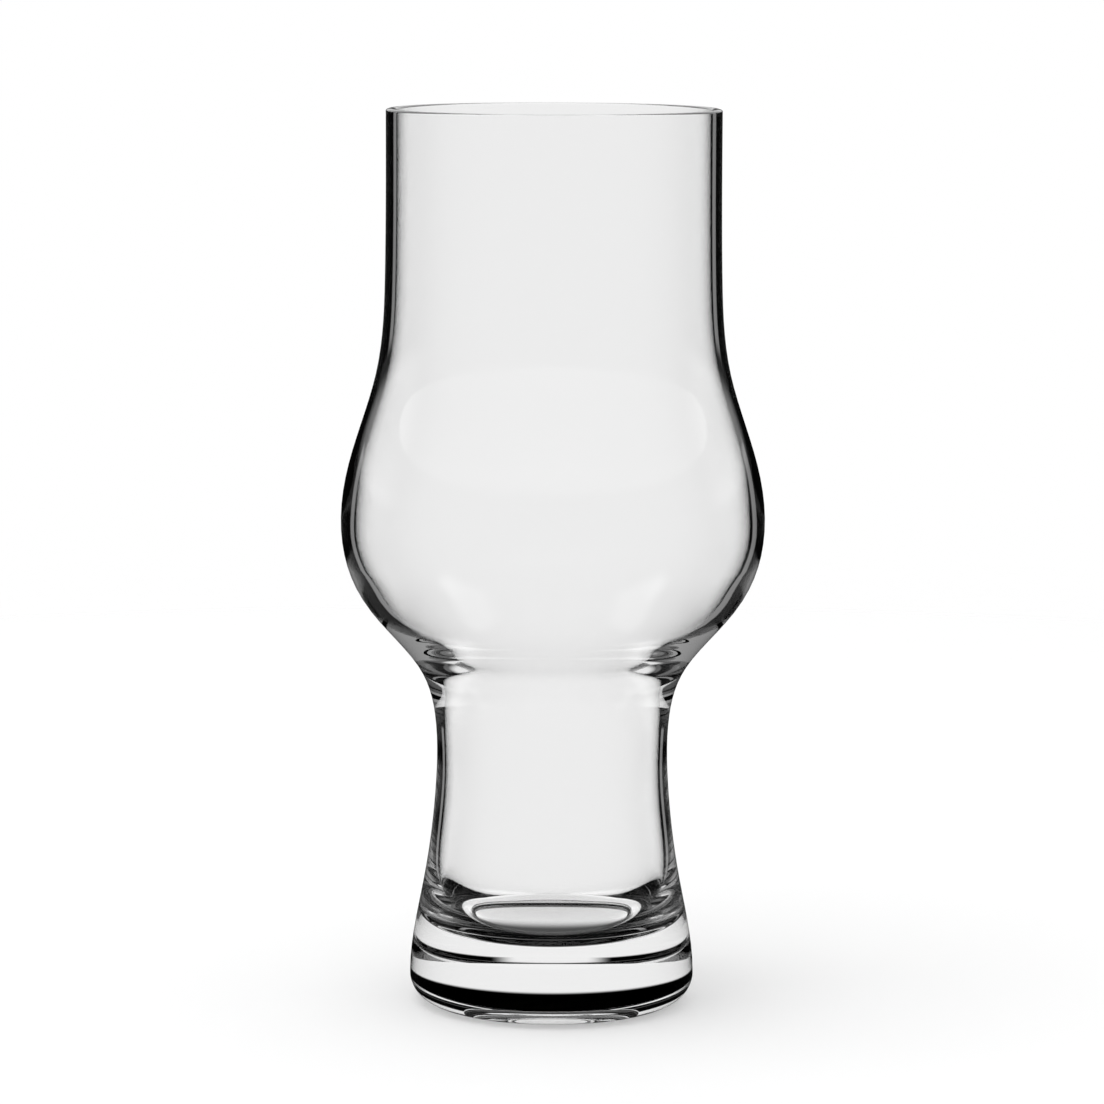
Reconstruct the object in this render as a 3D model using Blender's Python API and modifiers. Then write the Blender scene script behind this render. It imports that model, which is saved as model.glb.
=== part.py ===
"""A tall beer glass: a blown bowl, a hollow stem and a heavy base, all turned about one axis.

The inside and the outside of the glass are two smooth curves of radius against height. The glass
is cut across at its two fusion planes into the three sections that it is made from.
Units are metres, +Z is up, and the origin is the middle of the plane that the glass stands on.
"""
import math

import bpy
import numpy as np

MM = 0.001

# Driving dimensions
GLASS_HEIGHT = 160.0 * MM
LIP_WIDTH = 2.0 * MM
LIP_HEIGHT = 0.4 * MM
RIM_RADIUS = 29.65 * MM
BULGE_RADIUS = 37.5 * MM
WAIST_RADIUS = 20.8 * MM
BASE_RADIUS = 25.5 * MM
HEEL_WIDTH = 5.2 * MM
HEEL_HEIGHT = 5.0 * MM
FLOOR_HEIGHT = 12.8 * MM
FLOOR_RADIUS = 15.0 * MM
FILLET_HEIGHT = 9.2 * MM
FILLET_RADIUS = 20.5 * MM
RECESS_RADIUS = 19.2 * MM
RECESS_DEPTH = 3.15 * MM
RECESS_CORNER = 1.2 * MM
RECESS_EDGE = 0.3 * MM
STEM_JOINT = 24.0 * MM
BOWL_JOINT = 61.0 * MM
JOINT_GAP = 0.3 * MM

# Outside of the wall: (height, radius) from the top of the heel to the lip
OUTSIDE = (
    (HEEL_HEIGHT, BASE_RADIUS),
    (22.0 * MM, 23.0 * MM),
    (40.0 * MM, WAIST_RADIUS),
    (52.0 * MM, 21.0 * MM),
    (BOWL_JOINT, 24.1 * MM),
    (71.0 * MM, 32.55 * MM),
    (83.0 * MM, BULGE_RADIUS),
    (97.0 * MM, 36.35 * MM),
    (113.0 * MM, 31.5 * MM),
    (130.0 * MM, 29.85 * MM),
    (GLASS_HEIGHT - LIP_HEIGHT, RIM_RADIUS),
)

# Inside of the wall: (height, radius) from the top of the floor fillet to the lip
INSIDE = (
    (FLOOR_HEIGHT + FILLET_HEIGHT, FILLET_RADIUS),
    (34.0 * MM, 19.5 * MM),
    (46.0 * MM, 19.0 * MM),
    (55.0 * MM, 19.0 * MM),
    (59.0 * MM, 19.1 * MM),
    (BOWL_JOINT, 19.5 * MM),
    (63.0 * MM, 20.75 * MM),
    (65.0 * MM, 22.8 * MM),
    (67.0 * MM, 24.95 * MM),
    (69.0 * MM, 27.1 * MM),
    (71.0 * MM, 29.0 * MM),
    (73.0 * MM, 30.6 * MM),
    (76.0 * MM, 32.5 * MM),
    (80.0 * MM, 34.25 * MM),
    (88.0 * MM, 35.2 * MM),
    (97.0 * MM, 34.1 * MM),
    (113.0 * MM, 29.5 * MM),
    (130.0 * MM, 27.85 * MM),
    (GLASS_HEIGHT - LIP_HEIGHT, RIM_RADIUS - LIP_WIDTH),
)

# Fineness of the solids
TURN_STEPS = 48
SPAN_LENGTH = 4.0 * MM
ARC_STEPS = 6
MERGE_DISTANCE = 0.01 * MM

# Finish of the clear glass
GLASS_COLOUR = (0.96, 0.97, 0.97, 1.0)
GLASS_ROUGHNESS = 0.02
GLASS_IOR = 1.5


def smooth_radius(stations):
    """Returns radius(height): the smooth cubic curve through the stations, upright at both ends."""
    heights, radii = np.array(stations).T
    steps = np.diff(heights)
    grades = np.diff(radii) / steps
    count = len(heights)
    matrix = np.eye(count)
    target = np.zeros(count)
    for i in range(1, count - 1):
        matrix[i, i - 1:i + 2] = steps[i], 2.0 * (steps[i - 1] + steps[i]), steps[i - 1]
        target[i] = 3.0 * (steps[i] * grades[i - 1] + steps[i - 1] * grades[i])
    slopes = np.linalg.solve(matrix, target)

    def radius(height):
        i = int(np.clip(np.searchsorted(heights, height) - 1, 0, count - 2))
        s = (height - heights[i]) / steps[i]
        start = (1.0 + 2.0 * s) * (1.0 - s) ** 2 * radii[i] + s * (1.0 - s) ** 2 * steps[i] * slopes[i]
        end = s * s * (3.0 - 2.0 * s) * radii[i + 1] - s * s * (1.0 - s) * steps[i] * slopes[i + 1]
        return float(start + end)

    return radius


def wall(stations, low, high):
    """Points (radius, height) up a wall from low to high, closer together where the stations are."""
    radius = smooth_radius(stations)
    heights = [low]
    for (below, _), (above, _) in zip(stations, stations[1:]):
        steps = math.ceil((above - below) / SPAN_LENGTH)
        for step in range(steps):
            height = below + (above - below) * step / steps
            if low + JOINT_GAP < height < high - JOINT_GAP:
                heights.append(height)
    heights.append(high)
    return [(radius(height), height) for height in heights]


def arc(centre, width, height, start, end):
    """Points along an ellipse's arc, from the start angle to the end angle in degrees."""
    points = []
    for step in range(ARC_STEPS + 1):
        angle = math.radians(start + (end - start) * step / ARC_STEPS)
        points.append((centre[0] + width * math.cos(angle), centre[1] + height * math.sin(angle)))
    return points


def recess():
    """Points of the flat recess under the base, from the standing ring's inner edge to the axis."""
    edge = arc((RECESS_RADIUS + RECESS_EDGE, RECESS_EDGE), RECESS_EDGE, RECESS_EDGE, 270.0, 180.0)
    corner_centre = (RECESS_RADIUS - RECESS_CORNER, RECESS_DEPTH - RECESS_CORNER)
    corner = arc(corner_centre, RECESS_CORNER, RECESS_CORNER, 0.0, 90.0)
    return edge + corner + [(0.0, RECESS_DEPTH)]


def glass_material(name):
    """A clear, polished glass."""
    material = bpy.data.materials.new(name)
    material.use_nodes = True
    shader = material.node_tree.nodes["Principled BSDF"]
    shader.inputs["Base Color"].default_value = GLASS_COLOUR
    shader.inputs["Roughness"].default_value = GLASS_ROUGHNESS
    shader.inputs["Metallic"].default_value = 0.0
    shader.inputs["IOR"].default_value = GLASS_IOR
    shader.inputs["Transmission Weight"].default_value = 1.0
    return material


def turned(name, profile, closed, collection):
    """A solid turned about Z from a profile that runs down its outer side; closed if it is a ring."""
    mesh = bpy.data.meshes.new(name)
    count = len(profile)
    edges = [(i, i + 1) for i in range(count - 1)]
    if closed:
        edges.append((count - 1, 0))
    mesh.from_pydata([(radius, 0.0, height) for radius, height in profile], edges, [])
    piece = bpy.data.objects.new(name, mesh)
    collection.objects.link(piece)
    screw = piece.modifiers.new("Turn", "SCREW")
    screw.axis = "Z"
    screw.angle = math.tau
    screw.steps = TURN_STEPS
    screw.render_steps = TURN_STEPS
    screw.use_merge_vertices = True
    screw.merge_threshold = MERGE_DISTANCE
    screw.use_smooth_shade = True
    mesh.materials.append(glass_material(name + "_glass"))
    return piece


def make_bowl(collection):
    """The bowl: lip, straight upper wall, bulge, and the shoulder down to the stem."""
    low = BOWL_JOINT + JOINT_GAP / 2.0
    high = GLASS_HEIGHT - LIP_HEIGHT
    lip = arc((RIM_RADIUS - LIP_WIDTH / 2.0, high), LIP_WIDTH / 2.0, LIP_HEIGHT, 180.0, 0.0)
    outside = wall(OUTSIDE, low, high)
    inside = wall(INSIDE, low, high)
    return turned("bowl", lip + outside[-2::-1] + inside[:-1], True, collection)


def make_hollow_stem(collection):
    """The hollow stem: a waisted tube between the two fusion planes."""
    low = STEM_JOINT + JOINT_GAP / 2.0
    high = BOWL_JOINT - JOINT_GAP / 2.0
    outside = wall(OUTSIDE, low, high)
    inside = wall(INSIDE, low, high)
    return turned("hollow_stem", outside[::-1] + inside, True, collection)


def make_base(collection):
    """The base: the floor of the hollow, its fillet, the heel, the standing ring and the recess."""
    high = STEM_JOINT - JOINT_GAP / 2.0
    low = FLOOR_HEIGHT + FILLET_HEIGHT
    fillet_centre = (FLOOR_RADIUS, low)
    fillet = arc(fillet_centre, FILLET_RADIUS - FLOOR_RADIUS, FILLET_HEIGHT, -90.0, 0.0)
    inside = wall(INSIDE, low, high)
    outside = wall(OUTSIDE, HEEL_HEIGHT, high)
    heel = arc((BASE_RADIUS - HEEL_WIDTH, HEEL_HEIGHT), HEEL_WIDTH, HEEL_HEIGHT, 0.0, -90.0)
    profile = [(0.0, FLOOR_HEIGHT)] + fillet + inside[1:] + outside[:0:-1] + heel + recess()
    return turned("base", profile, False, collection)


def main():
    for old in list(bpy.data.objects):
        bpy.data.objects.remove(old, do_unlink=True)
    collection = bpy.data.collections.new("ipa_glass")
    bpy.context.scene.collection.children.link(collection)
    make_bowl(collection)
    make_hollow_stem(collection)
    make_base(collection)


if __name__ == "__main__":
    main()
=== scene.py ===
"""Looks of a tall clear beer glass, laid out as an add-on that builds one scene.

The glass is one unbroken body: a straight mouth, a round bulge, a waisted hollow stem and a heavy
foot. Its wall is two smooth curves of radius against height, turned about the upright axis by
Geometry Nodes. Sizes are in metres, +Z is up, and the origin is the middle of the standing plane.
"""
import math

import bmesh
import bpy
import numpy as np
from bpy.props import FloatProperty, FloatVectorProperty, IntProperty, PointerProperty
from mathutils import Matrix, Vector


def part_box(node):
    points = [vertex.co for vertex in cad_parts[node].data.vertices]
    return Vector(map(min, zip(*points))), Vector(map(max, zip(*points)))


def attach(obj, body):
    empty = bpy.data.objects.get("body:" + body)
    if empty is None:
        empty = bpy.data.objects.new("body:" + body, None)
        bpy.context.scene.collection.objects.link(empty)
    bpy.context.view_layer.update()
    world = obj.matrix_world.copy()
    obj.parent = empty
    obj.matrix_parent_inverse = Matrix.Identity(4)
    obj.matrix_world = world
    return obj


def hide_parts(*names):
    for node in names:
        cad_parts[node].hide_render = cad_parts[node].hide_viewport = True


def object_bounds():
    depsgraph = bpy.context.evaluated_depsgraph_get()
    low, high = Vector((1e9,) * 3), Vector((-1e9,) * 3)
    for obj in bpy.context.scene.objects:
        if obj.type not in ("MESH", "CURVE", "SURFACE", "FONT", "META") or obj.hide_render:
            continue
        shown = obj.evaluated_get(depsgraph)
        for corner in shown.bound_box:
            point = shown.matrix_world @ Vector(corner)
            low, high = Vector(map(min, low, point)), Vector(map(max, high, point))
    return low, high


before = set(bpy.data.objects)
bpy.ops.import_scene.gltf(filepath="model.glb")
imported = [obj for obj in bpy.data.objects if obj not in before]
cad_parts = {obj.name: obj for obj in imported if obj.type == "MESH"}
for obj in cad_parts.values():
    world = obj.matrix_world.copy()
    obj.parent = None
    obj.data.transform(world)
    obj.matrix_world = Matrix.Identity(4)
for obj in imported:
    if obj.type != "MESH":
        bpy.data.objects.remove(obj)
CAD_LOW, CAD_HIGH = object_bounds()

bl_info = {
    "name": "Clear Beer Glass",
    "version": (1, 0, 0),
    "blender": (4, 5, 0),
    "location": "View3D > Sidebar > Glass",
    "description": "Turns a clear beer glass and sets it on a plain white stage",
    "category": "Object",
}

MM = 0.001
SIZE_TOLERANCE = 0.2 * MM

# The wall's own points: (height, radius), between the heel or the floor's fillet and the lip
STEM_TOP = (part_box("hollow_stem")[1].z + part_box("bowl")[0].z) / 2.0
OUTSIDE = (
    (22.0 * MM, 23.0 * MM),
    (40.0 * MM, 20.8 * MM),
    (52.0 * MM, 21.0 * MM),
    (STEM_TOP, 24.1 * MM),
    (71.0 * MM, 32.55 * MM),
    (83.0 * MM, 37.5 * MM),
    (97.0 * MM, 36.35 * MM),
    (113.0 * MM, 31.5 * MM),
    (130.0 * MM, 29.85 * MM),
)
INSIDE = (
    (34.0 * MM, 19.5 * MM),
    (46.0 * MM, 19.0 * MM),
    (55.0 * MM, 19.0 * MM),
    (59.0 * MM, 19.1 * MM),
    (61.0 * MM, 19.5 * MM),
    (63.0 * MM, 20.75 * MM),
    (65.0 * MM, 22.8 * MM),
    (67.0 * MM, 24.95 * MM),
    (69.0 * MM, 27.1 * MM),
    (71.0 * MM, 29.0 * MM),
    (73.0 * MM, 30.6 * MM),
    (76.0 * MM, 32.5 * MM),
    (80.0 * MM, 34.25 * MM),
    (88.0 * MM, 35.2 * MM),
    (97.0 * MM, 34.1 * MM),
    (113.0 * MM, 29.5 * MM),
    (130.0 * MM, 27.85 * MM),
)

# Fineness of the turned mesh. The short last step keeps the lip's shading from spreading down the wall
SPAN_STEPS = 6
SPAN_LENGTH = 2.5 * MM
END_LENGTH = 0.1 * MM
ARC_STEPS = 20
FLOOR_STEPS = 12
MERGE_DISTANCE = 0.001 * MM

# The scuffed ring that the glass stands on: its height, grains to a metre, and the grain's contrast
SCUFF_HEIGHT = 0.25 * MM
SCUFF_SCALE = 2500.0
SCUFF_RANGE = (0.35, 0.65)

# How much of the lamp's light passes the glass, face on and at grazing edges
SHADOW_BLEND = 0.35
SHADOW_FACE = (0.95, 0.95, 0.95, 1.0)
SHADOW_EDGE = (0.35, 0.35, 0.35, 1.0)

# The floor, and the painted shade on it under the base that only the glass shows: where it ends outwards,
# and where it ends behind the axis
FLOOR_ROUGHNESS = 0.8
FLOOR_DROP = 0.1 * MM
FLOOR_SIDES = 128
UNDER_EDGE = (20.5 * MM, 24.0 * MM)
UNDER_BACK = (-3.0 * MM, 5.0 * MM)

# The soft lamp
LAMP_SIZE = 0.9
LAMP_PLACE = (-0.35, -0.25, 1.3)
LAMP_TILT = (math.radians(11.0), math.radians(-15.0), 0.0)

# The camera of the photograph, from the middle of the standing plane
CAMERA_DISTANCE = 803.7 * MM
CAMERA_HEIGHT = 190.3 * MM
CAMERA_SIDE = -0.5 * MM
CAMERA_PITCH = math.radians(7.73)
CAMERA_ROLL = math.radians(-0.19)
CAMERA_LENS = 148.3
CAMERA_CLIP = 0.01
SENSOR_WIDTH = 36.0
LIGHT_BOUNCES = 32

# Kinds of rays, by how often the glass bent or mirrored them
HOLLOW_PASSES = 4
CHAIN_MIRRORS = 3
DEEP_MIRRORS = 8

# Straight through the hollow: azimuths from +Y in degrees where the brighter sides start and end
BESIDE_START = (4.0, 16.0)
BESIDE_END = (26.0, 40.0)

# Straight through the solid base: dark elevations (low, high, softness) and the azimuths of its sides
HORIZON_DARK = (4.0, 12.2, 1.0)
SIDE_DARK = (-1.5, 5.0, 1.0)
SIDE_START = (9.0, 17.0)
SIDE_END = (64.0, 74.0)

# Mirrored once or twice: a lit band, a ceiling, where both fade, and grey panels (azimuths, brightness)
MIRROR_LIGHT = (12.2, 40.0, 0.3)
CEILING = (38.0, 46.0)
BEHIND = (70.0, 90.0)
BACK_LEVEL = 0.5
SIDE_PANELS = ((27.0, 34.5, 0.3), (-36.0, -30.0, 0.3))
PANEL_SOFTNESS = 1.0
PANEL_TOP = (-2.0, 0.0)

# Mirrored on the outside of the glass, as on top of the lip: elevations where the room comes in
SKIM_LIGHT = (1.0, 6.0)

# Mirrored many times in thick glass: dark, but dark grey ahead, grey far along, white low at the sides
CHAIN_DARK = 0.004
CHAIN_LIGHT = 0.35
NEAR_CHAIN = 0.4
CHAIN_AZIMUTH = (46.0, 54.0)
CHAIN_SHADE = (-12.5, -1.5, 1.0)
SLANT_ELEVATION = (-14.0, -22.0)
SLANT_AZIMUTH = (25.0, 50.0)

# Inputs (share, first, second) and output of a Mix node, by its kind
MIX_SOCKETS = {"FLOAT": ((0, 2, 3), 0), "RGBA": ((0, 6, 7), 2)}


def length(name, description, default):
    """A size in metres that a user can change."""
    return FloatProperty(name=name, description=description, default=default, unit="LENGTH", precision=5)


def share(name, description, default, top=1.0):
    """A plain number from nothing up to the top value."""
    return FloatProperty(name=name, description=description, default=default, min=0.0, max=top)


def colour(name, description, default):
    """A colour that a user can change."""
    return FloatVectorProperty(
        name=name, description=description, default=default, subtype="COLOR", size=3, min=0.0, max=1.0)


class GlassSizes(bpy.types.PropertyGroup):
    """Sizes of the turned glass."""
    height: length("Height", "From the standing plane to the lip", CAD_HIGH.z)
    lip: length("Lip", "Half of the wall's thickness at the lip", 1.0 * MM)
    lip_height: length("Lip Height", "How far the rounded lip goes up", 0.4 * MM)
    rim: length("Rim", "Outer radius at the lip", 29.65 * MM)
    base: length("Base", "Outer radius just above the heel", 25.5 * MM)
    heel_width: length("Heel Width", "How far the rounded heel goes in", 5.2 * MM)
    heel_height: length("Heel Height", "How far the rounded heel goes up", 5.0 * MM)
    floor: length("Floor", "Height of the floor of the hollow", 12.8 * MM)
    floor_radius: length("Floor Radius", "Radius of the flat of the floor", 15.0 * MM)
    fillet_height: length("Fillet Height", "How far the floor's fillet goes up", 9.2 * MM)
    fillet_radius: length("Fillet Radius", "Inner radius at the top of the fillet", 20.5 * MM)
    recess: length("Recess", "Depth of the recess under the base", 3.15 * MM)
    recess_radius: length("Recess Radius", "Radius of the recess under the base", 19.2 * MM)
    recess_corner: length("Recess Corner", "Radius of the corner round the recess's roof", 1.2 * MM)
    recess_edge: length("Recess Edge", "Radius of the edge from the recess to the standing ring", 0.3 * MM)
    turn_steps: IntProperty(name="Turn Steps", description="Sides of the turned mesh", default=240, min=16)


class GlassFinish(bpy.types.PropertyGroup):
    """Finish of the glass."""
    tint: colour("Tint", "Colour of light that has passed the glass", (0.995, 0.995, 0.995))
    ior: share("Index", "How strongly the glass bends light", 1.5, 3.0)
    polish: share("Polish", "Roughness of the fire-polished glass", 0.0)
    scuff: share("Scuff", "Roughness of the ring that the glass stands on", 0.3)
    ripple: length("Ripple", "Height of the slow ripple left by the forming of the glass", 0.006 * MM)
    ripple_scale: share("Ripple Scale", "Ripples to a metre", 45.0, 1000.0)
    ripple_seed: share("Ripple Seed", "Which ripple", 3.0, 100.0)


class StageLook(bpy.types.PropertyGroup):
    """Floor and light round the glass."""
    floor_colour: colour("Floor", "Colour of the plain pale floor", (0.95, 0.95, 0.95))
    floor_radius: length("Floor Radius", "Radius of the floor", 600.0 * MM)
    fade_start: length("Fade Start", "Where the floor starts to fade into the white", 250.0 * MM)
    # Brightness of the painted shade under the base, which only the glass shows
    painted_shade_level: share("Contact", "Brightness of the floor in the shade under the base", 0.1)
    fill: share("Fill", "Brightness of the white room on the floor", 0.93, 10.0)
    through: share("Through", "Brightness of the room behind the glass", 1.0)
    beside: share("Beside", "Brightness of the room beside the glass", 1.25, 2.0)
    solid: share("Solid", "Brightness of the room through the solid base", 0.93)
    lamp_power: FloatProperty(name="Lamp", description="Power of the soft lamp", default=4.0, unit="POWER")


def node(tree, kind, **settings):
    """Adds a node to a tree and sets its options."""
    made = tree.nodes.new(kind)
    for name, value in settings.items():
        setattr(made, name, value)
    return made


def feed(tree, target, value):
    """Links a socket to an input, or sets the input to a plain value."""
    if isinstance(value, bpy.types.NodeSocket):
        tree.links.new(value, target)
    else:
        target.default_value = value


def maths(tree, operation, first, second=0.0):
    """The result socket of a Math node."""
    made = node(tree, "ShaderNodeMath", operation=operation)
    feed(tree, made.inputs[0], first)
    feed(tree, made.inputs[1], second)
    return made.outputs[0]


def product(tree, first, *others):
    """All the values multiplied."""
    for other in others:
        first = maths(tree, "MULTIPLY", first, other)
    return first


def highest(tree, first, second):
    """The higher of two values."""
    return maths(tree, "MAXIMUM", first, second)


def ramp(tree, value, low, high, start=0.0, end=1.0):
    """The smooth way from start to end as a value goes from low to high."""
    made = node(tree, "ShaderNodeMapRange", interpolation_type="SMOOTHSTEP")
    for socket, given in zip(made.inputs, (value, low, high, start, end)):
        feed(tree, socket, given)
    return made.outputs["Result"]


def mix(tree, kind, amount, first, second):
    """The first number or colour where the amount is 0, the second where it is 1."""
    made = node(tree, "ShaderNodeMix", data_type=kind)
    inputs, result = MIX_SOCKETS[kind]
    for place, given in zip(inputs, (amount, first, second)):
        feed(tree, made.inputs[place], given)
    return made.outputs[result]


def blend(tree, amount, first, second):
    """The first shader where the amount is 0, the second where it is 1."""
    made = node(tree, "ShaderNodeMixShader")
    for socket, given in zip(made.inputs, (amount, first, second)):
        feed(tree, socket, given)
    return made.outputs[0]


def at_least(tree, depth, count):
    """1 for rays whose depth is this count or more, 0 for the rest."""
    return maths(tree, "GREATER_THAN", depth, count - 0.5)


def smooth_radius(stations):
    """Returns radius(height): the smooth cubic curve through the stations, upright at both ends."""
    heights, radii = np.array(stations).T
    steps = np.diff(heights)
    grades = np.diff(radii) / steps
    count = len(heights)
    matrix = np.eye(count)
    target = np.zeros(count)
    for i in range(1, count - 1):
        matrix[i, i - 1:i + 2] = steps[i], 2.0 * (steps[i - 1] + steps[i]), steps[i - 1]
        target[i] = 3.0 * (steps[i] * grades[i - 1] + steps[i - 1] * grades[i])
    slopes = np.linalg.solve(matrix, target)

    def radius(height):
        i = int(np.clip(np.searchsorted(heights, height) - 1, 0, count - 2))
        s = (height - heights[i]) / steps[i]
        start = (1.0 + 2.0 * s) * (1.0 - s) ** 2 * radii[i] + s * (1.0 - s) ** 2 * steps[i] * slopes[i]
        end = s * s * (3.0 - 2.0 * s) * radii[i + 1] - s * s * (1.0 - s) * steps[i] * slopes[i + 1]
        return float(start + end)

    return radius


def wall(stations):
    """Points (radius, height) up a wall, closer together where its stations are."""
    radius = smooth_radius(stations)
    heights = []
    for (below, _), (above, _) in zip(stations, stations[1:]):
        steps = max(SPAN_STEPS, math.ceil((above - below) / SPAN_LENGTH))
        heights += [below + (above - below) * step / steps for step in range(steps)]
    top = stations[-1][0]
    heights += [top - END_LENGTH, top]
    return [(radius(height), height) for height in heights]


def arc(centre, width, height, start, end):
    """Points along an ellipse's arc, from the start angle to the end angle in degrees."""
    points = []
    for step in range(ARC_STEPS + 1):
        angle = math.radians(start + (end - start) * step / ARC_STEPS)
        points.append((centre[0] + width * math.cos(angle), centre[1] + height * math.sin(angle)))
    return points


def glass_profile(sizes):
    """The glass's outline (radius, height), from the axis under the base to the axis on the floor."""
    lip_start = sizes.height - sizes.lip_height
    fillet_top = sizes.floor + sizes.fillet_height
    roof_edge = sizes.recess_radius - sizes.recess_corner
    roof = [(roof_edge * step / FLOOR_STEPS, sizes.recess) for step in range(FLOOR_STEPS)]
    corner_centre = (roof_edge, sizes.recess - sizes.recess_corner)
    corner = arc(corner_centre, sizes.recess_corner, sizes.recess_corner, 90.0, 0.0)
    edge_centre = (sizes.recess_radius + sizes.recess_edge, sizes.recess_edge)
    edge = arc(edge_centre, sizes.recess_edge, sizes.recess_edge, 180.0, 270.0)
    heel_centre = (sizes.base - sizes.heel_width, sizes.heel_height)
    heel = arc(heel_centre, sizes.heel_width, sizes.heel_height, -90.0, 0.0)
    outside = wall(((sizes.heel_height, sizes.base),) + OUTSIDE + ((lip_start, sizes.rim),))
    lip = arc((sizes.rim - sizes.lip, lip_start), sizes.lip, sizes.lip_height, 0.0, 180.0)
    inner_rim = (lip_start, sizes.rim - 2.0 * sizes.lip)
    inside = wall(((fillet_top, sizes.fillet_radius),) + INSIDE + (inner_rim,))
    fillet_width = sizes.fillet_radius - sizes.floor_radius
    fillet = arc((sizes.floor_radius, fillet_top), fillet_width, sizes.fillet_height, 0.0, -90.0)
    floor = []
    for step in range(1, FLOOR_STEPS + 1):
        floor.append((sizes.floor_radius * (1.0 - step / FLOOR_STEPS), sizes.floor))
    return roof + corner + edge + heel + outside[1:] + lip[1:] + inside[-2::-1] + fillet[1:] + floor


def turning_tree():
    """Geometry Nodes that turn a profile about Z, ripple it slightly and give it its glass."""
    tree = bpy.data.node_groups.new("turned_glass", "GeometryNodeTree")
    face = tree.interface
    face.new_socket("Profile", in_out="INPUT", socket_type="NodeSocketGeometry")
    face.new_socket("Turn Steps", in_out="INPUT", socket_type="NodeSocketInt")
    for name in ("Merge Distance", "Ripple Height", "Ripple Scale", "Ripple Seed"):
        face.new_socket(name, in_out="INPUT", socket_type="NodeSocketFloat")
    face.new_socket("Glass", in_out="INPUT", socket_type="NodeSocketMaterial")
    face.new_socket("Body", in_out="OUTPUT", socket_type="NodeSocketGeometry")
    given = node(tree, "NodeGroupInput").outputs

    # One row of the grid for each point of the profile, one column for each turn step
    count = node(tree, "GeometryNodeAttributeDomainSize", component="MESH")
    feed(tree, count.inputs["Geometry"], given["Profile"])
    points = count.outputs["Point Count"]
    grid = node(tree, "GeometryNodeMeshGrid")
    feed(tree, grid.inputs["Vertices X"], maths(tree, "ADD", given["Turn Steps"], 1.0))
    feed(tree, grid.inputs["Vertices Y"], points)
    index = node(tree, "GeometryNodeInputIndex").outputs["Index"]
    row = maths(tree, "MODULO", index, points)
    column = maths(tree, "FLOOR", maths(tree, "DIVIDE", index, points))

    # Each grid point goes to its point of the profile, turned by its column's angle
    profile_point = node(tree, "GeometryNodeSampleIndex", data_type="FLOAT_VECTOR", domain="POINT")
    feed(tree, profile_point.inputs["Geometry"], given["Profile"])
    feed(tree, profile_point.inputs["Value"], node(tree, "GeometryNodeInputPosition").outputs["Position"])
    feed(tree, profile_point.inputs["Index"], row)
    turn = node(tree, "ShaderNodeVectorRotate", rotation_type="Z_AXIS")
    feed(tree, turn.inputs["Vector"], profile_point.outputs["Value"])
    whole_turns = maths(tree, "DIVIDE", column, given["Turn Steps"])
    feed(tree, turn.inputs["Angle"], maths(tree, "MULTIPLY", whole_turns, math.tau))
    turned = node(tree, "GeometryNodeSetPosition")
    feed(tree, turned.inputs["Geometry"], grid.outputs["Mesh"])
    feed(tree, turned.inputs["Position"], turn.outputs["Vector"])
    closed = node(tree, "GeometryNodeMergeByDistance")
    feed(tree, closed.inputs["Geometry"], turned.outputs["Geometry"])
    feed(tree, closed.inputs["Distance"], given["Merge Distance"])

    # A slow ripple, square to the surface
    noise = node(tree, "ShaderNodeTexNoise", noise_dimensions="4D")
    feed(tree, noise.inputs["Vector"], node(tree, "GeometryNodeInputPosition").outputs["Position"])
    feed(tree, noise.inputs["W"], given["Ripple Seed"])
    feed(tree, noise.inputs["Scale"], given["Ripple Scale"])
    swing = maths(tree, "SUBTRACT", noise.outputs[0], 0.5)
    move = node(tree, "ShaderNodeVectorMath", operation="SCALE")
    feed(tree, move.inputs["Vector"], node(tree, "GeometryNodeInputNormal").outputs["Normal"])
    feed(tree, move.inputs["Scale"], maths(tree, "MULTIPLY", swing, given["Ripple Height"]))
    rippled = node(tree, "GeometryNodeSetPosition")
    feed(tree, rippled.inputs["Geometry"], closed.outputs["Geometry"])
    feed(tree, rippled.inputs["Offset"], move.outputs["Vector"])

    smooth = node(tree, "GeometryNodeSetShadeSmooth")
    feed(tree, smooth.inputs["Geometry"], rippled.outputs["Geometry"])
    real = node(tree, "GeometryNodeRealizeInstances")
    feed(tree, real.inputs["Geometry"], smooth.outputs["Geometry"])
    finish = node(tree, "GeometryNodeSetMaterial")
    feed(tree, finish.inputs["Geometry"], real.outputs["Geometry"])
    feed(tree, finish.inputs["Material"], given["Glass"])
    feed(tree, node(tree, "NodeGroupOutput").inputs["Body"], finish.outputs["Geometry"])
    return tree


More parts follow.
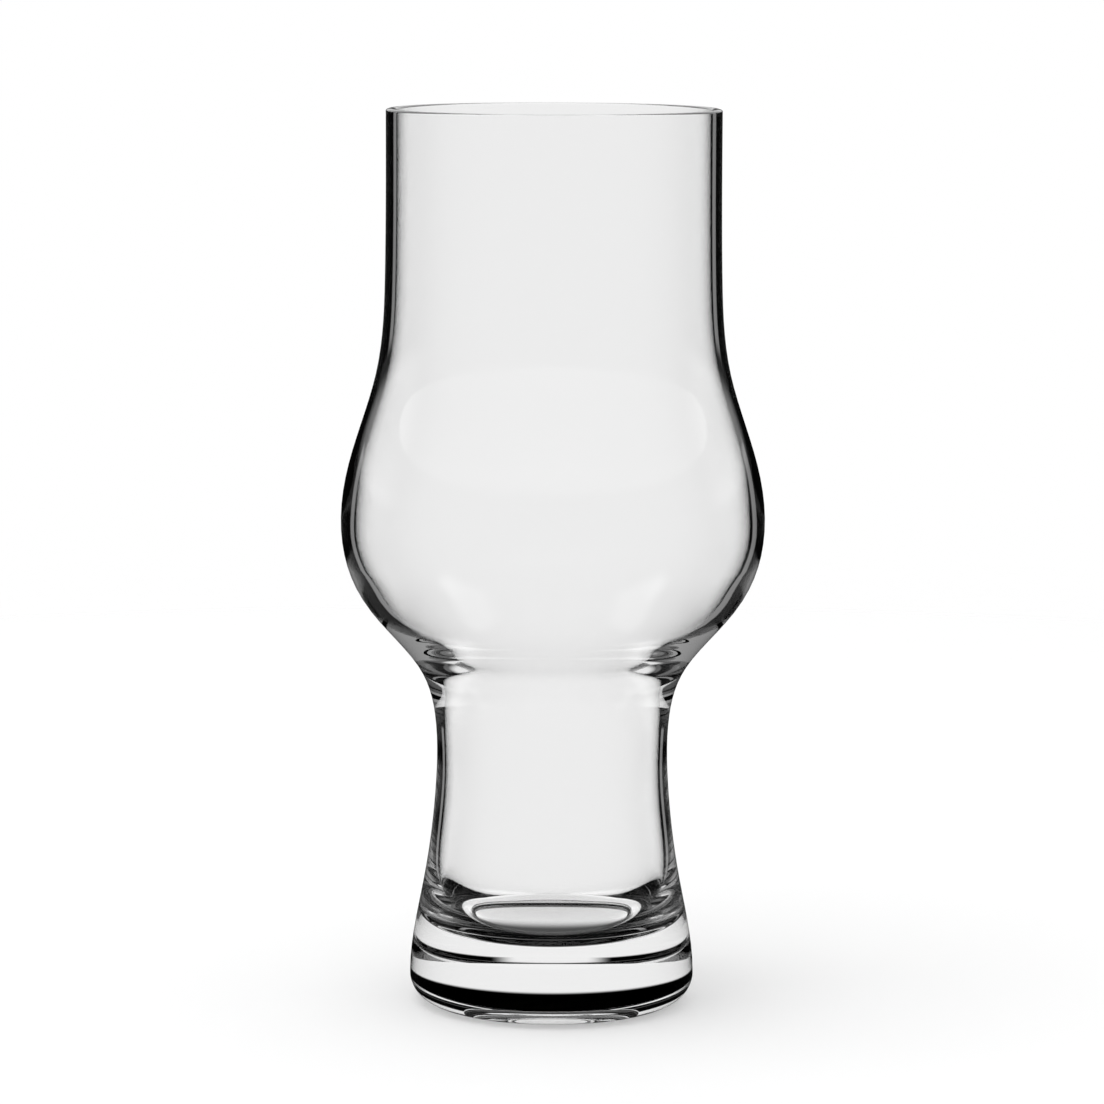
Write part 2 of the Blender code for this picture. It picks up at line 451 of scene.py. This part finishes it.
def clear_glass(finish):
    """Fire-polished clear glass, scuffed where it stands, which lets the lamp through to the floor."""
    material = bpy.data.materials.new("clear_glass")
    material.use_nodes = True
    tree = material.node_tree
    shader = tree.nodes["Principled BSDF"]
    shader.inputs["Base Color"].default_value = (*finish.tint, 1.0)
    shader.inputs["IOR"].default_value = finish.ior
    shader.inputs["Transmission Weight"].default_value = 1.0

    # Roughness: none on the polished wall, a scuffed grain on the standing ring
    place = node(tree, "ShaderNodeTexCoord").outputs["Object"]
    split = node(tree, "ShaderNodeSeparateXYZ")
    feed(tree, split.inputs[0], place)
    standing = ramp(tree, split.outputs["Z"], 0.0, SCUFF_HEIGHT, 1.0, 0.0)
    grain = node(tree, "ShaderNodeTexNoise")
    feed(tree, grain.inputs["Vector"], place)
    feed(tree, grain.inputs["Scale"], SCUFF_SCALE)
    worn = product(tree, standing, ramp(tree, grain.outputs[0], *SCUFF_RANGE), finish.scuff)
    feed(tree, shader.inputs["Roughness"], maths(tree, "ADD", worn, finish.polish))

    # Rays from the lamp pass the glass, less at its grazing edges
    through = node(tree, "ShaderNodeBsdfTransparent")
    edge = node(tree, "ShaderNodeLayerWeight")
    feed(tree, edge.inputs["Blend"], SHADOW_BLEND)
    passed = mix(tree, "RGBA", edge.outputs["Facing"], SHADOW_FACE, SHADOW_EDGE)
    feed(tree, through.inputs["Color"], passed)
    from_lamp = node(tree, "ShaderNodeLightPath").outputs["Is Shadow Ray"]
    surface = blend(tree, from_lamp, shader.outputs["BSDF"], through.outputs["BSDF"])
    feed(tree, tree.nodes["Material Output"].inputs["Surface"], surface)
    return material


def link_object(name, data):
    """Adds an object at the origin to the scene."""
    made = bpy.data.objects.new(name, data)
    bpy.context.scene.collection.objects.link(made)
    return made


def turned_body(name, profile, inputs):
    """Turns a profile with Geometry Nodes and returns the result as a plain, closed mesh object."""
    outline = bpy.data.meshes.new(name + "_profile")
    edges = [(i, i + 1) for i in range(len(profile) - 1)]
    outline.from_pydata([(radius, 0.0, height) for radius, height in profile], edges, [])
    piece = link_object(name, outline)
    lathe = piece.modifiers.new("Turn", "NODES")
    lathe.node_group = turning_tree()
    for socket in lathe.node_group.interface.items_tree:
        if socket.in_out == "INPUT" and socket.name in inputs:
            lathe[socket.identifier] = inputs[socket.name]
    evaluated = piece.evaluated_get(bpy.context.evaluated_depsgraph_get())
    mesh = bpy.data.meshes.new_from_object(evaluated)
    piece.modifiers.remove(lathe)
    piece.data = mesh
    mesh.name = name
    bpy.data.meshes.remove(outline)
    shape = bmesh.new()
    shape.from_mesh(mesh)
    bmesh.ops.recalc_face_normals(shape, faces=shape.faces)
    shape.to_mesh(mesh)
    shape.free()
    return piece


class GLASS_OT_make_body(bpy.types.Operator):
    """Turn the glass body and give it its clear glass."""
    bl_idname = "beer_glass.make_body"
    bl_label = "Make Glass Body"

    def execute(self, context):
        sizes = context.scene.glass_sizes
        finish = context.scene.glass_finish
        inputs = {
            "Turn Steps": sizes.turn_steps,
            "Merge Distance": MERGE_DISTANCE,
            "Ripple Height": finish.ripple,
            "Ripple Scale": finish.ripple_scale,
            "Ripple Seed": finish.ripple_seed,
            "Glass": clear_glass(finish),
        }
        body = turned_body("glass_body", glass_profile(sizes), inputs)
        if abs(body.dimensions.z - (CAD_HIGH.z - CAD_LOW.z)) > SIZE_TOLERANCE:
            raise RuntimeError("the turned glass isn't as tall as its solids")
        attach(body, "root")
        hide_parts("bowl", "hollow_stem", "base")
        return {"FINISHED"}


def pale_floor(look):
    """A plain pale floor that fades into the white room, with a painted shade under the base that the
    glass shows.
    """
    material = bpy.data.materials.new("pale_floor")
    material.use_nodes = True
    tree = material.node_tree
    shader = tree.nodes["Principled BSDF"]
    shader.inputs["Base Color"].default_value = (*look.floor_colour, 1.0)
    shader.inputs["Roughness"].default_value = FLOOR_ROUGHNESS
    shader.inputs["Specular IOR Level"].default_value = 0.0
    place = node(tree, "ShaderNodeTexCoord").outputs["Object"]
    span = node(tree, "ShaderNodeVectorMath", operation="LENGTH")
    feed(tree, span.inputs[0], place)
    distance = span.outputs["Value"]
    split = node(tree, "ShaderNodeSeparateXYZ")
    feed(tree, split.inputs[0], place)

    # Seen through the glass, the floor is the white room but for a painted shade under the base, black for
    # mirrored rays
    path = node(tree, "ShaderNodeLightPath").outputs
    clear = node(tree, "ShaderNodeBsdfTransparent").outputs["BSDF"]
    dark = node(tree, "ShaderNodeEmission")
    feed(tree, dark.inputs["Color"], (look.painted_shade_level, look.painted_shade_level, look.painted_shade_level, 1.0))
    inside = ramp(tree, distance, *UNDER_EDGE, 1.0, 0.0)
    # Straight rays see the painted shade only in front of the axis, as if the light came from behind
    front = ramp(tree, split.outputs["Y"], *UNDER_BACK, 1.0, 0.0)
    mirrored = at_least(tree, path["Glossy Depth"], 1)
    feed(tree, dark.inputs["Strength"], maths(tree, "SUBTRACT", 1.0, mirrored))
    painted_shade_mask = product(tree, inside, highest(tree, front, mirrored))
    under = blend(tree, painted_shade_mask, clear, dark.outputs["Emission"])
    through_glass = highest(tree, path["Is Glossy Ray"], path["Is Transmission Ray"])
    seen = blend(tree, through_glass, shader.outputs["BSDF"], under)
    faded = blend(tree, ramp(tree, distance, look.fade_start, look.floor_radius), seen, clear)
    feed(tree, tree.nodes["Material Output"].inputs["Surface"], faded)
    return material


def dark_band(tree, value, low, high, soft):
    """1 everywhere but between two values in degrees, with soft edges."""
    below = ramp(tree, value, low - soft, low + soft, 1.0, 0.0)
    above = ramp(tree, value, high - soft, high + soft)
    return highest(tree, below, above)


def lit_band(tree, value, low, high, soft):
    """1 only between two values in degrees, with soft edges."""
    return maths(tree, "SUBTRACT", 1.0, dark_band(tree, value, low, high, soft))


def choose(tree, test, first, second):
    """The first number where the test is 0, the second where it is 1."""
    return mix(tree, "FLOAT", test, first, second)


def white_room(look):
    """A white room whose dark horizon shows only in the thick foot and the edges of the glass.

    Places in it are elevations, and azimuths from +Y, in degrees.
    """
    world = bpy.data.worlds.new("white_room")
    bpy.context.scene.world = world
    world.use_nodes = True
    tree = world.node_tree
    split = node(tree, "ShaderNodeSeparateXYZ")
    feed(tree, split.inputs[0], node(tree, "ShaderNodeTexCoord").outputs["Generated"])
    elevation = maths(tree, "DEGREES", maths(tree, "ARCSINE", split.outputs["Z"]))
    azimuth = maths(tree, "DEGREES", maths(tree, "ARCTAN2", split.outputs["X"], split.outputs["Y"]))
    aside = maths(tree, "ABSOLUTE", azimuth)
    path = node(tree, "ShaderNodeLightPath").outputs
    inside = at_least(tree, path["Transmission Depth"], 1)
    hollow = at_least(tree, path["Transmission Depth"], HOLLOW_PASSES)
    mirrored = at_least(tree, path["Glossy Depth"], 1)
    chained = at_least(tree, path["Glossy Depth"], CHAIN_MIRRORS)
    deep = at_least(tree, path["Glossy Depth"], DEEP_MIRRORS)
    scattered = at_least(tree, path["Diffuse Depth"], 1)

    # Straight through the hollow the room is white, and brighter beside the glass than behind it
    beside = product(tree, ramp(tree, aside, *BESIDE_START), ramp(tree, aside, *BESIDE_END, 1.0, 0.0))
    backdrop = ramp(tree, beside, 0.0, 1.0, look.through, look.beside)

    # Straight through the solid base it has a dark horizon, deeper to either side
    middle = highest(tree, ramp(tree, aside, *SIDE_START, 1.0, 0.0), ramp(tree, aside, *SIDE_END))
    side_dark = highest(tree, dark_band(tree, elevation, *SIDE_DARK), middle)
    horizon = maths(tree, "MINIMUM", dark_band(tree, elevation, *HORIZON_DARK), side_dark)
    straight = choose(tree, hollow, product(tree, horizon, look.solid), backdrop)

    # Mirrored in the base or in a wall, it is dark but for its ceiling, a lit band and grey panels
    ahead = ramp(tree, aside, *BEHIND, 1.0, 0.0)
    ceiling = product(tree, ramp(tree, elevation, *CEILING), ahead)
    level = ramp(tree, aside, *BEHIND, look.solid, BACK_LEVEL)
    solid = product(tree, lit_band(tree, elevation, *MIRROR_LIGHT), level)
    low_down = ramp(tree, elevation, *PANEL_TOP, 1.0, 0.0)
    for start, end, brightness in SIDE_PANELS:
        panel = lit_band(tree, azimuth, start, end, PANEL_SOFTNESS)
        solid = highest(tree, solid, product(tree, panel, low_down, brightness))
    mirror = highest(tree, ceiling, choose(tree, hollow, solid, CHAIN_DARK))

    # Mirrored many times in the thick glass, it is dark again, but grey ahead and far along
    near = product(tree, ramp(tree, aside, *CHAIN_AZIMUTH, 1.0, 0.0), NEAR_CHAIN)
    near = product(tree, near, dark_band(tree, elevation, *CHAIN_SHADE))
    lit = highest(tree, choose(tree, hollow, near, 0.0), deep)
    slanting = product(
        tree, ramp(tree, elevation, *SLANT_ELEVATION), ramp(tree, aside, *SLANT_AZIMUTH), look.solid)
    chain = ramp(tree, lit, 0.0, 1.0, CHAIN_DARK, CHAIN_LIGHT)
    chain = highest(tree, chain, choose(tree, hollow, slanting, 0.0))
    mirror = choose(tree, chained, mirror, chain)

    # Mirrored on the outside of the glass, it is dark below the horizon
    skim = product(tree, ramp(tree, elevation, *SKIM_LIGHT, CHAIN_DARK, look.solid), ahead)
    mirror = choose(tree, inside, skim, mirror)

    # The floor gets a plain white light, and the camera sees plain white
    in_glass = choose(tree, mirrored, straight, mirror)
    on_floor = choose(tree, scattered, in_glass, look.fill)
    shown = choose(tree, path["Is Camera Ray"], on_floor, 1.0)
    feed(tree, tree.nodes["Background"].inputs["Color"], shown)


def soft_lamp(look):
    """A large soft lamp above the glass, which lights the floor and isn't mirrored in the glass."""
    lamp = bpy.data.lights.new("soft_lamp", "AREA")
    lamp.size = LAMP_SIZE
    lamp.energy = look.lamp_power
    holder = link_object("soft_lamp", lamp)
    holder.location = LAMP_PLACE
    holder.rotation_euler = LAMP_TILT
    holder.visible_glossy = False
    holder.visible_transmission = False


def photo_camera():
    """The camera at the photograph's place."""
    camera = bpy.data.cameras.new("photo_camera")
    camera.lens = CAMERA_LENS
    camera.sensor_width = SENSOR_WIDTH
    camera.sensor_fit = "HORIZONTAL"
    camera.clip_start = CAMERA_CLIP
    holder = link_object("photo_camera", camera)
    holder.location = (CAMERA_SIDE, -CAMERA_DISTANCE, CAMERA_HEIGHT)
    holder.rotation_euler = (math.pi / 2.0 - CAMERA_PITCH, CAMERA_ROLL, 0.0)
    bpy.context.scene.camera = holder


class GLASS_OT_set_stage(bpy.types.Operator):
    """Set the floor, the light and the camera."""
    bl_idname = "beer_glass.set_stage"
    bl_label = "Set Stage"

    def execute(self, context):
        look = context.scene.glass_stage
        disc = bpy.data.meshes.new("floor")
        shape = bmesh.new()
        bmesh.ops.create_circle(shape, cap_ends=True, radius=look.floor_radius, segments=FLOOR_SIDES)
        bmesh.ops.translate(shape, verts=shape.verts, vec=(0.0, 0.0, CAD_LOW.z - FLOOR_DROP))
        shape.to_mesh(disc)
        shape.free()
        disc.materials.append(pale_floor(look))
        link_object("floor", disc)
        white_room(look)
        soft_lamp(look)
        photo_camera()
        context.scene.view_settings.view_transform = "Standard"
        bounces = context.scene.cycles
        bounces.max_bounces = LIGHT_BOUNCES
        bounces.glossy_bounces = LIGHT_BOUNCES
        bounces.transmission_bounces = LIGHT_BOUNCES
        bounces.transparent_max_bounces = LIGHT_BOUNCES
        return {"FINISHED"}


class GLASS_PT_sidebar(bpy.types.Panel):
    """Sizes, finish and stage of the glass."""
    bl_idname = "GLASS_PT_sidebar"
    bl_label = "Clear Beer Glass"
    bl_space_type = "VIEW_3D"
    bl_region_type = "UI"
    bl_category = "Glass"

    def draw(self, context):
        for group in (context.scene.glass_sizes, context.scene.glass_finish, context.scene.glass_stage):
            column = self.layout.column(align=True)
            for name in group.__annotations__:
                column.prop(group, name)
        self.layout.operator(GLASS_OT_make_body.bl_idname)
        self.layout.operator(GLASS_OT_set_stage.bl_idname)


CLASSES = (GlassSizes, GlassFinish, StageLook, GLASS_OT_make_body, GLASS_OT_set_stage, GLASS_PT_sidebar)


def register():
    for made in CLASSES:
        bpy.utils.register_class(made)
    bpy.types.Scene.glass_sizes = PointerProperty(type=GlassSizes)
    bpy.types.Scene.glass_finish = PointerProperty(type=GlassFinish)
    bpy.types.Scene.glass_stage = PointerProperty(type=StageLook)


def unregister():
    del bpy.types.Scene.glass_stage
    del bpy.types.Scene.glass_finish
    del bpy.types.Scene.glass_sizes
    for made in reversed(CLASSES):
        bpy.utils.unregister_class(made)


def main():
    register()
    bpy.ops.beer_glass.make_body()
    bpy.ops.beer_glass.set_stage()


if __name__ == "__main__":
    main()
